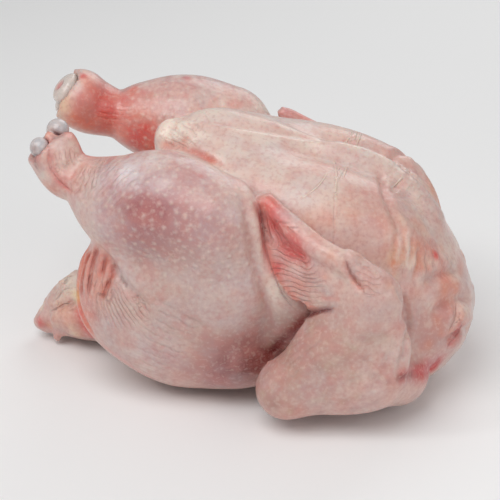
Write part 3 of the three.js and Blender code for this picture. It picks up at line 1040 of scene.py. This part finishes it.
# %% Washes
WASHES = [  # place in the frame, size in mm, colour, strength
    # broad shades
    ((165, 300), 30, paint(198, 168, 158), 0.5), ((300, 370), 20, paint(186, 146, 134), 0.5),
    ((275, 395), 14, paint(180, 130, 114), 0.5), ((330, 340), 16, paint(190, 150, 138), 0.4),
    ((395, 235), 18, paint(206, 158, 144), 0.55), ((380, 190), 16, paint(212, 170, 160), 0.5),
    ((450, 300), 14, paint(198, 138, 122), 0.6), ((440, 330), 14, paint(180, 116, 108), 0.6),
    ((388, 385), 10, paint(200, 144, 134), 0.4), ((375, 300), 12, paint(196, 150, 142), 0.4),
    ((225, 225), 14, paint(192, 148, 144), 0.4), ((310, 190), 20, paint(218, 190, 178), 0.4),
    # drumstick and thigh
    ((150, 165), 17, LILAC, 0.9), ((115, 172), 10, LILAC, 0.9), ((195, 178), 12, LILAC, 0.7),
    ((135, 160), 9, CREAM, 0.5), ((170, 160), 9, CREAM, 0.4), ((155, 222), 17, PLUM, 0.85),
    ((125, 212), 12, PLUM, 0.5), ((182, 215), 12, PLUM, 0.55), ((145, 248), 10, PLUM, 0.75),
    ((108, 210), 8, LILAC, 0.7), ((215, 205), 10, MEAT, 0.4), ((225, 240), 12, PINK, 0.4),
    ((170, 268), 16, SKIN, 0.7), ((205, 280), 14, SKIN, 0.6), ((235, 290), 12, LILAC, 0.5),
    ((112, 238), 8, LILAC, 0.8), ((125, 272), 7, LILAC, 0.7), ((115, 325), 16, SKIN, 0.8),
    ((170, 325), 16, SKIN, 0.4), ((145, 352), 14, LILAC, 0.7), ((195, 360), 12, PINK, 0.5),
    # these three darken the low thigh beside the wing, as painted shade
    ((236, 350), 13, PLUM, 0.8), ((215, 376), 11, PLUM, 0.8), ((240, 376), 8, BRUISE_AND_SHADE, 0.5),
    ((170, 225), 9, RED, 0.12), ((135, 230), 12, PLUM, 0.4), ((165, 250), 8, PLUM, 0.4),
    ((102, 218), 2.5, RED, 0.3), ((107, 247), 2, RED, 0.3), ((140, 278), 2, RED, 0.3),
    # the first is painted shade where drumstick meets thigh
    ((138, 262), 2.6, BRUISE_AND_SHADE, 0.5), ((210, 235), 7, LILAC, 0.3),
    # side of the body and band
    ((300, 330), 14, SHADE, 0.6), ((320, 312), 8, SHADE, 0.8), ((283, 330), 10, SHADE, 0.5),
    ((430, 330), 12, MEAT, 0.5), ((248, 210), 6, CREAM, 0.6), ((262, 262), 6, CREAM, 0.6),
    ((276, 300), 7, SKIN, 0.6),
    # wing
    ((268, 203), 6, RED, 0.8), ((277, 222), 6, RED, 0.75), ((292, 243), 7, RED, 0.95),
    ((302, 258), 6, RED, 0.6), ((275, 268), 5, RED, 0.75), ((272, 245), 6, RED, 0.5),
    ((310, 275), 8, RED, 0.2), ((300, 288), 6, PINK, 0.6), ((320, 300), 6, CREAM, 0.6),
    ((318, 250), 6, LILAC, 0.6), ((300, 228), 5, CREAM, 0.5), ((340, 285), 9, CREAM, 0.4),
    ((372, 278), 8, PINK, 0.5), ((400, 325), 5, RED, 0.25), ((300, 365), 14, SHADE, 0.35),
    ((270, 395), 10, SHADE, 0.35), ((345, 345), 12, SKIN, 0.5), ((320, 400), 8, LILAC, 0.4),
    ((382, 385), 9, RED, 0.1), ((290, 415), 8, RAW, 0.2),
    # breast and neck
    ((330, 228), 12, RAW, 0.16), ((360, 240), 10, RAW, 0.2), ((300, 215), 14, CREAM, 0.5),
    ((345, 232), 14, CREAM, 0.3), ((410, 282), 9, RAW, 0.3), ((350, 205), 9, FAT, 0.2),
    ((404, 252), 6, FAT, 0.5), ((425, 255), 9, RAW, 0.18), ((436, 255), 3, RED, 0.6),
    ((452, 290), 8, RAW, 0.3), ((430, 235), 9, RAW, 0.2), ((380, 235), 12, RAW, 0.2),
    ((452, 312), 8, RAW, 0.6), ((465, 305), 5, CREAM, 0.6), ((456, 330), 6, RED, 0.4),
    ((428, 370), 5, RED, 0.5), ((440, 358), 6, RED, 0.4), ((420, 388), 9, PINK, 0.7),
    ((452, 345), 7, PINK, 0.5), ((440, 215), 12, PINK, 0.3), ((400, 150), 14, PINK, 0.35),
    ((340, 135), 12, PINK, 0.3),
    # rear and tail
    ((95, 285), 11, RAW, 0.45), ((100, 255), 7, RAW, 0.5), ((84, 312), 7, RAW, 0.5),
    ((68, 281), 7, CREAM, 0.8), ((75, 296), 4, paint(236, 206, 120), 0.8), ((58, 300), 8, FAT, 0.5),
    ((41, 323), 4, RED, 0.7), ((62, 322), 8, PINK, 0.7), ((80, 324), 6, RAW, 0.5),
    ((55, 333), 5, RED, 0.3), ((170, 132), 12, CREAM, 0.8), ((200, 145), 12, CREAM, 0.6),
    ((222, 170), 7, CREAM, 0.8),
    # far leg
    ((100, 104), 13, RED, 0.75), ((78, 114), 9, RAW, 0.9), ((111, 116), 5, BLOOD_RED, 0.7),
    ((92, 90), 7, PINK, 0.5), ((140, 128), 10, RAW, 0.7), ((120, 130), 8, RAW, 0.6),
    ((60, 112), 6, FAT, 0.6), ((80, 78), 5, CREAM, 0.6), ((82, 77), 2, RED, 0.5),
    ((150, 146), 7, RED, 0.8), ((285, 113), 6, RED, 0.6), ((80, 84), 6, CREAM, 0.6),
    ((130, 104), 8, RED, 0.3), ((170, 100), 12, PINK, 0.4), ((140, 140), 9, RED, 0.7),
    ((66, 86), 6, CARTILAGE, 0.6),
    # near ankle
    ((62, 150), 7, PINK, 0.7), ((75, 145), 6, CREAM, 0.5), ((55, 168), 4, RAW, 0.4),
    ((70, 163), 5, CREAM, 0.6), ((66, 178), 3, RED, 0.5), ((72, 175), 2.5, RED, 0.6),
    ((49, 139), 3, RED, 0.9), ((37, 160), 3.5, RED, 0.6), ((60, 192), 6, PINK, 0.6),
    ((42, 160), 5, SHADE, 0.4), ((57, 137), 2.5, BLOOD_AND_SHADE, 0.8), ((35, 153), 2.5, BLOOD_AND_SHADE, 0.8),
]
WING_AREA = (260, 410)  # washes between these two in the frame, and lower than WING_TOP, lie on a wing
WING_TOP = 190


def moved_with(u, v):
    """How far the copy of a wash is moved: with the leg, with the wing, or not at all."""
    if u < LEGS_END:
        return LEG_MOVED
    return WING_MOVED if WING_AREA[0] < u < WING_AREA[1] and v > WING_TOP else NOT_MOVED


for place, size, colour, strength in WASHES:
    wash(place, size, colour, strength)
    wash(place, size, colour, strength, moved_with(*place))
print(len(WASHES), "washes")

# %% Mottling
NECK_START = 400  # spots right of this in the frame lie on the neck end, which isn't moved


def mottle(left, top, right, bottom, count, size, colours, strength):
    """Small washes scattered over part of the frame, and over the same part of the other side."""
    for _ in range(count):
        place = dice.uniform(left, right), dice.uniform(top, bottom)
        colour = dice.choice(colours)
        reach = size * dice.uniform(0.6, 1.4)
        moved = LEG_MOVED if place[0] < LEGS_END else WING_MOVED if place[0] < NECK_START else NOT_MOVED
        wash(place, reach, colour, strength)
        wash(place, reach, colour, strength, moved)


dice = random.Random(3)
mottle(388, 218, 430, 292, 60, 3.0, (CREAM, FAT, ORANGE, PINK), 0.5)
mottle(425, 240, 468, 345, 60, 3.2, (CREAM, ORANGE, PINK, RAW, MEAT), 0.42)
mottle(305, 212, 392, 262, 50, 3.4, (CREAM, ORANGE, PINK), 0.3)
mottle(40, 272, 92, 340, 70, 2.2, (CREAM, FAT, PINK, ORANGE, RAW), 0.6)
mottle(262, 325, 390, 412, 160, 2.2, (CREAM, OLIVE, PINK, MEAT, SHADE), 0.4)
mottle(100, 150, 205, 192, 100, 2.0, (CREAM, LILAC, PLUM, LILAC), 0.45)
mottle(150, 74, 262, 108, 80, 2.4, (CREAM, RED, PINK, PLUM, CREAM), 0.4)
mottle(90, 300, 250, 380, 120, 4.0, (CREAM, LILAC, PINK, SKIN, MEAT), 0.36)
mottle(95, 155, 240, 295, 120, 3.4, (LILAC, PINK, CREAM, PLUM), 0.3)
mottle(30, 125, 90, 205, 80, 2.2, (CREAM, CREAM, PINK, ORANGE, MEAT), 0.4)
mottle(60, 72, 155, 140, 70, 2.8, (RED, RAW, ORANGE, PINK, CREAM), 0.42)
mottle(270, 205, 345, 300, 50, 2.6, (CREAM, PINK, RAW, LILAC), 0.3)
mottle(160, 110, 440, 210, 110, 4.6, (CREAM, PINK, SKIN, LILAC), 0.16)

# %% Stains along the folds
STAINS = [  # line in the frame, width in mm, colour, strength
    (WEB_BAND, 4.0, CREAM, 0.8), (WEB_CREASE, 1.6, MEAT, 0.6), (HAND_EDGE, 1.4, RAW, 0.6),
    ([(110, 116), (124, 121), (140, 121), (158, 113)], 1.8, PINK, 0.6),
    ([(266, 212), (278, 232), (288, 248), (299, 262)], 3.4, RED, 0.75), (VENT_ROLL, 2.5, CREAM, 0.5),
    (REAR_EDGE, 1.8, RAW, 0.7), (KEEL_VALLEY, 2.4, PINK, 0.35), (FORKED_CREASE, 1.4, PINK, 0.6),
    ([(163, 124), (201, 125), (251, 131), (315, 142), (361, 148), (389, 160), (420, 178)], 1.6, CREAM, 0.8),
    ([(461, 322), (455, 335), (445, 348)], 1.3, RED, 0.7),
    ([(320, 298), (332, 299), (342, 300)], 1.2, RAW, 0.6),
    ([(95, 340), (115, 355), (140, 372), (165, 384)], 2.2, RAW, 0.5),
    *((fold, 1.5, paint(214, 84, 54), 0.85) for fold in REAR_FOLDS),
    *((arm, 1.2, PINK, 0.4) for arm in FORK_ARMS), *((fold, 1.2, ORANGE, 0.7) for fold in FAT_FOLDS),
    ([(408, 228), (409, 250), (404, 274)], 1.6, CREAM, 0.8),
    ([(399, 226), (400, 246), (396, 262)], 1.5, CREAM, 0.6), (ANKLE_SPLIT, 1.2, RED, 0.6),
    (SLEEVE_EDGE, 1.2, PINK, 0.5),
]
LEFT_STAINS = [  # the same, on the left side only
    ([(34, 150), (35, 160), (37, 171)], 1.3, BLOOD_AND_SHADE, 0.7),
    ([(50, 138), (57, 138), (66, 133)], 1.3, BLOOD_AND_SHADE, 0.6),
    ([(52, 151), (53, 164), (60, 178), (72, 190)], 1.3, RED, 0.45),
    # the dark red along ELBOW_CREASE below is painted shade in the crease
    ([(60, 165), (70, 161), (84, 163)], 1.6, CREAM, 0.8), (ELBOW_CREASE, 1.8, BLOOD_AND_SHADE, 0.8),
    # the red line beside the hand's edge is a painted shadow between hand and band
    (THUMB_CREASE, 1.3, RAW, 0.7), ([(258, 198), (260, 215), (264, 245), (270, 268)], 1.6, RED, 0.75),
    # both stains here are painted shade: on the body beside the forearm's edge, and in the corner between
    # forearm and thigh
    (ELBOW_SHADE, 3.0, BLOOD_AND_SHADE, 0.9), ([(266, 345), (260, 360), (252, 374)], 5.0, BLOOD_AND_SHADE, 0.8),
    ([(74, 300), (80, 318), (90, 334), (97, 341)], 2.4, RED, 0.8),
]
ACCENTS = [  # washes that stay clear of the mottling
    ((155, 222), 17, paint(160, 88, 92), 0.7), ((128, 214), 10, PLUM, 0.45), ((184, 217), 12, PLUM, 0.5),
    # the last two here, and the dark red wash at (249, 370) below, are painted shade low on the thigh
    # beside the wing
    ((145, 248), 9, PLUM, 0.6), ((238, 354), 13, paint(140, 66, 64), 0.85), ((222, 378), 10, PLUM, 0.8),
    ((249, 370), 8, BLOOD_AND_SHADE, 0.8), ((172, 128), 9, paint(248, 232, 216), 0.9),
    ((190, 136), 9, paint(248, 230, 216), 0.8), ((184, 141), 2.5, ORANGE, 0.6),
    ((215, 166), 4, CREAM, 0.6), ((205, 112), 8, CREAM, 0.6),
    ((374, 200), 14, paint(204, 150, 140), 0.45), ((310, 368), 20, paint(184, 138, 124), 0.4),
    ((170, 95), 14, paint(200, 140, 134), 0.4), ((66, 290), 9, CREAM, 0.6),
    ((60, 312), 8, paint(226, 178, 156), 0.5), ((92, 280), 8, paint(222, 132, 98), 0.4),
    ((165, 300), 20, paint(194, 164, 154), 0.3), ((292, 243), 6, RED, 0.8), ((299, 255), 4, RED, 0.6),
    ((276, 268), 4, RED, 0.7), ((268, 204), 5, RAW, 0.6), ((274, 222), 5, RED, 0.5),
    # the second is a painted highlight on top of the drumstick
    ((462, 306), 5, CREAM, 0.6), ((128, 171), 8, paint(238, 226, 228), 0.85),
    ((335, 325), 14, paint(188, 144, 134), 0.45), ((205, 228), 12, paint(186, 146, 146), 0.4),
    ((165, 300), 26, paint(190, 160, 152), 0.3), ((420, 216), 10, CREAM, 0.4),
    ((111, 114), 3.5, BLOOD_RED, 0.7), ((100, 104), 10, RED, 0.45), ((80, 118), 8, RAW, 0.7),
    ((61, 112), 5, FAT, 0.5), ((140, 138), 8, RED, 0.6), ((150, 147), 6, RAW, 0.8),
    ((66, 86), 5, CARTILAGE, 0.6), ((82, 76), 2, RED, 0.6), ((105, 262), 5, paint(206, 84, 52), 0.4),
    ((40, 324), 3.5, RED, 0.6), ((436, 255), 2, RED, 0.8), ((66, 152), 7, paint(230, 206, 196), 0.6),
    ((46, 164), 5, paint(212, 184, 176), 0.5), ((70, 176), 5, paint(226, 190, 178), 0.5),
    ((271, 208), 5, RED, 0.5), ((277, 220), 5, RED, 0.4), ((215, 250), 22, paint(180, 140, 138), 0.3),
    # the second is painted shade low on the thigh
    ((180, 310), 26, paint(176, 146, 136), 0.3), ((226, 372), 12, paint(120, 56, 52), 0.35),
    ((345, 350), 24, paint(196, 160, 146), 0.3), ((392, 215), 16, paint(196, 148, 138), 0.3),
    ((115, 128), 8, paint(226, 96, 72), 0.5), ((77, 80), 5, CREAM, 0.8), ((71, 93), 4, CREAM, 0.7),
    ((64, 104), 4, FAT, 0.6), ((84, 76), 1.6, RED, 0.7), ((70, 279), 8, paint(240, 222, 204), 0.8),
    ((62, 286), 5, CREAM, 0.5), ((77, 296), 3, paint(226, 190, 104), 0.6), ((52, 300), 4, PINK, 0.5),
    ((66, 316), 6, paint(226, 176, 158), 0.5), ((80, 314), 3, RED, 0.5),
]

# %% Lay the stains and accents
SHOULDER = 380  # accents between LEGS_END and this are laid on both wings


def copied(stops):
    """A line drawn in the frame, laid on the other side's leg where it starts on a leg, or on its wing."""
    return mirrored(seen(*stops), LEG_MOVED if stops[0][0] < LEGS_END else WING_MOVED)


for stops, width, colour, strength in STAINS + LEFT_STAINS:
    stain(seen(*stops), width, colour, strength)
stain(kept(seen(*VENT_LIP), body), 1.7, paint(226, 84, 40), 1.0)
for stops, width, colour, strength in STAINS:
    stain(copied(stops), width, colour, strength)
for place, size, colour, strength in ACCENTS:
    wash(place, size, colour, strength)
    if LEGS_END < place[0] < SHOULDER:
        wash(place, size, colour, 0.7 * strength, WING_MOVED)
print(len(STAINS + LEFT_STAINS), "stains and", len(ACCENTS), "accents")

# %% [markdown]
# ## Painted shade in the folds
#
# Little light gets in where skin lies on skin, so the shade there is painted on in meat and dark red.
# From every corner a few rays look outwards: the more of them that meet skin close by, the deeper the
# corner lies in a fold, and the darker it is painted.

# %% Painted shade in the folds
RAYS = 6
OCCLUSION_REACH = 14 * MM  # how far away skin has to be to lie open
turn_aside = np.cross(normals, at(0.31, 0.87, 0.38))
turn_aside /= np.linalg.norm(turn_aside, axis=1)[:, None]
turn_up = np.cross(normals, turn_aside)
occlusion = np.zeros(len(points))
starts = (points + SHIFT) * MM + normals * 0.4 * MM
for k in range(RAYS):
    angle = math.radians(360 / RAYS * k + 17)
    rays = normals * 0.55 + turn_aside * math.cos(angle) + turn_up * math.sin(angle)
    for i, (start, ray) in enumerate(zip(starts, rays)):
        place, _, _, gap = surface.ray_cast(Vector(start), Vector(ray), OCCLUSION_REACH)
        if place is not None:
            occlusion[i] += (1 - gap / OCCLUSION_REACH) / RAYS
deep_shade = smooth(occlusion, 0.25, 0.75) * (1 - inside)
# painted shade: corners deep in folds are darkened towards meat, and the deepest towards dark red
blend(everything, MEAT, 0.3 * smooth(occlusion, 0.1, 0.45) * (1 - inside))
blend(everything, BLOOD_AND_SHADE, 0.8 * deep_shade)

# %% Painted shade in the deepest folds
SHADE_LINES = [  # line in the frame, width in mm, how dark
    (ELBOW_SHADE, 2.0, 0.95), (ELBOW_CREASE, 1.1, 0.9), *((fold, 0.8, 0.25) for fold in REAR_FOLDS),
    ([(258, 200), (259, 216), (262, 240)], 0.9, 0.4), ([(345, 260), (352, 274), (362, 287)], 0.9, 0.5),
]
# painted shade along the deepest creases, fainter on the other side
for stops, width, strength in SHADE_LINES:
    stain(seen(*stops), width, PAINTED_SHADE_RED, strength)
    stain(copied(stops), width, PAINTED_SHADE_RED, 0.6 * strength)
NECK_BLOOD = [(396, 378), (408, 374), (420, 371), (432, 366), (444, 354)]
stain(seen(*NECK_BLOOD), 3.6, BLOOD_RED, 0.95, share=0.12)
stain(seen((394, 380), (404, 376), (416, 373)), 1.8, BLOOD_AND_SHADE, 0.8)
stain(seen((410, 375), (425, 372), (438, 361)), 3.2, paint(200, 16, 22), 0.95)
save_paint(skin)
print("painted,", int((deep_shade > 0.5).sum()), "corners lie in closed folds")

# %% [markdown]
# ## Feather pits
#
# Each feather left a raised pit. They stand in even order, about four millimetres apart, and are
# clearest on the legs. Every corner of the mesh keeps the place of its nearest pit, so the material can
# draw each pit round and crisp, finer than the mesh.

# %% Feather pits
PIT_SPACING = 3.8  # millimetres
dice = random.Random(7)
order = list(range(len(points)))
dice.shuffle(order)
cells = {}
pits = []
for i in order:
    p = points[i]
    x, y, z = (int(c // PIT_SPACING) for c in p)
    around = (cells.get((x + a, y + b, z + c)) for a in (-1, 0, 1) for b in (-1, 0, 1) for c in (-1, 0, 1))
    if all(q is None or ((p - q) ** 2).sum() > PIT_SPACING**2 for q in around):
        cells[x, y, z] = p
        pits.append(p)

# %% The nearest pit of every corner
tree = KDTree(len(pits))
for i, p in enumerate(pits):
    tree.insert(p, i)
tree.balance()
nearest = [tree.find(p) for p in points]
centres = (np.array([found[0] for found in nearest]) + SHIFT) * MM
keep_on(skin, "pit", "FLOAT_VECTOR", "vector", centres)
far = np.array([found[2] for found in nearest], np.float32) * MM
keep_on(skin, "pit_distance", "FLOAT", "value", far)
# clearest on top of the legs, faint on the breast, and gone on the tail and in the cavity
feathered = 0.04 + 0.85 * leg_share * smooth(points[:, 2], 58, 80) + 0.1 * leg_share
feathered += 0.3 * wing_share * smooth(-points[:, 2], -60, -40)
feathered *= (1 - inside) * smooth(points[:, 0], -72, -60)
keep_on(skin, "feathered", "FLOAT", "value", np.clip(feathered, 0, 1))
print(len(pits), "feather pits")

# %% [markdown]
# ## Skin material
#
# Light goes a few millimetres into raw skin and comes out red, so it is given scattering under the
# surface. It is wet: a thin clear coat carries the sharp highlights, and the skin below stays soft.

# %% Material helpers
class Nodes:
    """Builds one material's nodes with short calls."""

    def __init__(self, name):
        self.material = bpy.data.materials.new(name)
        self.material.use_nodes = True
        self.tree = self.material.node_tree
        self.shader = self.tree.nodes["Principled BSDF"]

    def add(self, kind, out=0, settings=None, **inputs):
        made = self.tree.nodes.new("ShaderNode" + kind)
        for key, value in (settings or {}).items():
            setattr(made, key, value)
        for key, value in inputs.items():
            self.set(made, key, value)
        return made.outputs[out]

    def set(self, made, key, value):
        key = int(key[1:]) if key[0] == "_" and key[1:].isdigit() else key.replace("_", " ")
        if isinstance(value, bpy.types.NodeSocket):
            self.tree.links.new(value, made.inputs[key])
        else:
            made.inputs[key].default_value = value

    def shade(self, **inputs):
        """Sets the shader's own sockets. A number that is the same all over goes straight on them."""
        for key, value in inputs.items():
            self.set(self.shader, key, value)

    def attribute(self, name, out=0):
        return self.add("Attribute", out=out, settings=dict(attribute_name=name))

    def math(self, operation, a, b=0.0):
        return self.add("Math", settings=dict(operation=operation), _0=a, _1=b)

    def times(self, a, b):
        return self.math("MULTIPLY", a, b)

    def noise(self, where, scale, detail=2.0):
        return self.add("TexNoise", Vector=where, Scale=scale, Detail=detail, Roughness=0.5)

    def remap(self, value, low, high, to_low=0.0, to_high=1.0):
        settings = dict(interpolation_type="SMOOTHSTEP")
        return self.add("MapRange", settings=settings, Value=value, From_Min=low, From_Max=high,
                        To_Min=to_low, To_Max=to_high)

    def mix(self, share, colour, over):
        """Lays a share of a paint over a colour."""
        settings = dict(data_type="RGBA", blend_type="MIX")
        return self.add("Mix", out=2, settings=settings, _0=share, _6=colour, _7=(*over, 1))


# %% Skin material
n = Nodes("raw_skin")
where = n.add("TexCoord", out=3)
tint_in = n.attribute("tint")
pit_in = n.attribute("pit", 1)
far_in = n.attribute("pit_distance", 2)
clear_in = n.attribute("feathered", 2)
offset = n.add("VectorMath", settings=dict(operation="SUBTRACT"), _0=where, _1=pit_in)
off = n.add("VectorMath", out=1, settings=dict(operation="LENGTH"), _0=offset)
off = n.math("MAXIMUM", off, n.times(n.math("SUBTRACT", far_in, 0.0005), 1.3))
dot = n.remap(off, 0.0, 0.0018, 1.0, 0.0)
dot = n.times(n.times(dot, clear_in), n.remap(n.noise(where, 150.0), 0.3, 0.6, 0.4, 1.0))
pleat_in = n.attribute("pleat", 1)
split = n.add("SeparateXYZ", _0=pleat_in).node
wander = n.times(n.noise(where, 190.0), 1.1)
turns = n.times(n.math("ADD", split.outputs[0], wander), 2 * math.pi)
broken = n.remap(n.noise(where, 95.0), 0.35, 0.6, 0.35, 1.0)
pleat = n.remap(n.math("COSINE", turns), -0.2, 1.0, 0.0, 1.0)
pleat = n.times(n.times(pleat, split.outputs[1]), broken)
wrinkle_in = n.attribute("wrinkle", 1)
split = n.add("SeparateXYZ", _0=wrinkle_in).node
near = n.remap(split.outputs[1], 1.3, 2.0, 1.0, 0.0)
thin = n.remap(n.math("ABSOLUTE", split.outputs[0]), 0.0, 0.75, 1.0, 0.0)
strength = n.times(split.outputs[2], near)
line = n.times(thin, strength)
groove = n.math("MAXIMUM", line, 0.0)
streak = n.math("MAXIMUM", n.times(line, -1.0), 0.0)

# %% Skin colour and gloss
blotch = n.noise(where, 110.0, 3.0)
speckle = n.noise(where, 520.0, 2.0)
mottled = n.mix(n.remap(n.noise(where, 64.0, 2.0), 0.42, 0.66, 0.0, 0.3), tint_in, paint(196, 176, 176))
mottled = n.mix(n.remap(blotch, 0.42, 0.66, 0.0, 0.3), mottled, paint(204, 132, 122))
mottled = n.mix(n.remap(speckle, 0.5, 0.7, 0.0, 0.19), mottled, CREAM)
mottled = n.mix(n.remap(speckle, 0.5, 0.3, 0.0, 0.32), mottled, paint(190, 132, 126))
colour = n.mix(n.times(dot, 0.36), mottled, CREAM)
# pleat valleys and wrinkle grooves are painted darker, as painted shade in them
colour = n.mix(n.times(pleat, 0.22), colour, paint(172, 92, 78))
colour = n.mix(n.times(groove, 0.3), colour, paint(150, 84, 74))
colour = n.mix(n.times(streak, 0.6), colour, paint(244, 226, 206))
wet = n.noise(where, 70.0, 2.0)
n.shade(Base_Color=colour, Roughness=n.remap(wet, 0.35, 0.65, 0.36, 0.55))
grain = n.times(n.noise(where, 700.0, 3.0), 0.42)
relief = n.math("ADD", n.times(dot, 0.6), grain)
relief = n.math("SUBTRACT", relief, line)
relief = n.math("SUBTRACT", relief, n.times(pleat, 1.3))
bump = n.add("Bump", Strength=1.0, Distance=0.0005, Height=relief)
n.shade(Normal=bump, Coat_Weight=0.35, Coat_Roughness=0.17)
n.shade(Subsurface_Weight=0.35, Subsurface_Radius=(1.0, 0.38, 0.25), Subsurface_Scale=0.0016)
skin.data.shade_smooth()
skin.data.materials.append(n.material)

# %% [markdown]
# ## Bone material
#
# Cartilage is smoother and wetter than skin, and light that goes into it comes out pale. Its paint is one
# cool colour with blood in the notch between the knuckles, and pink marrow in the cut face.

# %% Bone material
KNUCKLE_WASHES = [
    ((56, 136), 3, BLOOD_AND_SHADE, 0.8), ((36, 158), 4, BLOOD_AND_SHADE, 0.7), ((34, 150), 2, BRUISE_AND_SHADE, 0.6),
    ((50, 128), 3, SKIN, 0.4),
]
start_painting(knuckles[LEFT], CARTILAGE)
for place, size, colour, strength in KNUCKLE_WASHES:
    wash(place, size, colour, strength)
save_paint(knuckles[LEFT])
start_painting(knuckles[RIGHT], paint(212, 200, 192))
blend(np.arange(len(points)), paint(208, 120, 118), marrow_share())
save_paint(knuckles[RIGHT])

n = Nodes("wet_cartilage")
where = n.add("TexCoord", out=3)
tint_in = n.attribute("tint")
cloud = n.remap(n.noise(where, 260.0, 3.0), 0.4, 0.65, 0.0, 0.35)
shine = n.remap(n.noise(where, 400.0), 0.3, 0.7, 0.18, 0.34)
bump = n.add("Bump", Strength=0.3, Distance=0.0003, Height=n.noise(where, 700.0, 3.0))
n.shade(Base_Color=n.mix(cloud, tint_in, paint(222, 200, 192)), Roughness=shine, Normal=bump)
n.shade(Subsurface_Weight=0.3, Subsurface_Radius=(1.0, 0.8, 0.7), Subsurface_Scale=0.002)
n.shade(Coat_Weight=0.5, Coat_Roughness=0.1)
for piece in knuckles.values():
    piece.data.shade_smooth()
    piece.data.materials.append(n.material)

# %% [markdown]
# ## Light and floor
#
# A plain pale floor under soft studio light: a broad lamp high on the left, weaker ones round the back
# and right, and a bright room that keeps the shadows open.

# %% Lights
def softbox(name, place, size, power):
    """A round lamp that faces the bird."""
    lamp = bpy.data.lights.new(name, "AREA")
    lamp.shape = "DISK"
    lamp.size = size
    lamp.energy = power
    made = linked(name, lamp)
    made.location = place
    made.rotation_euler = (Vector(place) - LOOK_AT).to_track_quat("Z", "Y").to_euler()


softbox("key", (-0.2, -0.55, 1.0), 0.9, 6.6)
softbox("glint", (-0.8, -0.5, 0.85), 0.16, 0.9)
softbox("fill", (0.9, -0.6, 0.6), 0.8, 2.4)
softbox("back", (0.2, 0.9, 0.7), 0.8, 2.6)
room = bpy.data.worlds.new("room")
room.use_nodes = True
background = room.node_tree.nodes["Background"]
background.inputs["Color"].default_value = (1, 1, 1, 1)
background.inputs["Strength"].default_value = 0.34
scene.world = room
scene.view_settings.view_transform = "Standard"

# %% Floor
bm = bmesh.new()
bmesh.ops.create_grid(bm, x_segments=1, y_segments=1, size=3.0)
floor_mesh = bpy.data.meshes.new("floor")
bm.to_mesh(floor_mesh)
bm.free()
plain = Nodes("pale_floor")
plain.shade(Base_Color=(0.9, 0.9, 0.9, 1), Roughness=0.8)
floor_mesh.materials.append(plain.material)
floor = linked("floor", floor_mesh)

# %% [markdown]
# ## Hand over
#
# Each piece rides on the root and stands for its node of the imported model.

# %% Ride on the root
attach(skin, "root")
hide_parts("chicken")
for side, node in ((LEFT, "left_leg_bone"), (RIGHT, "right_leg_bone")):
    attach(knuckles[side], "root")
    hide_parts(node)
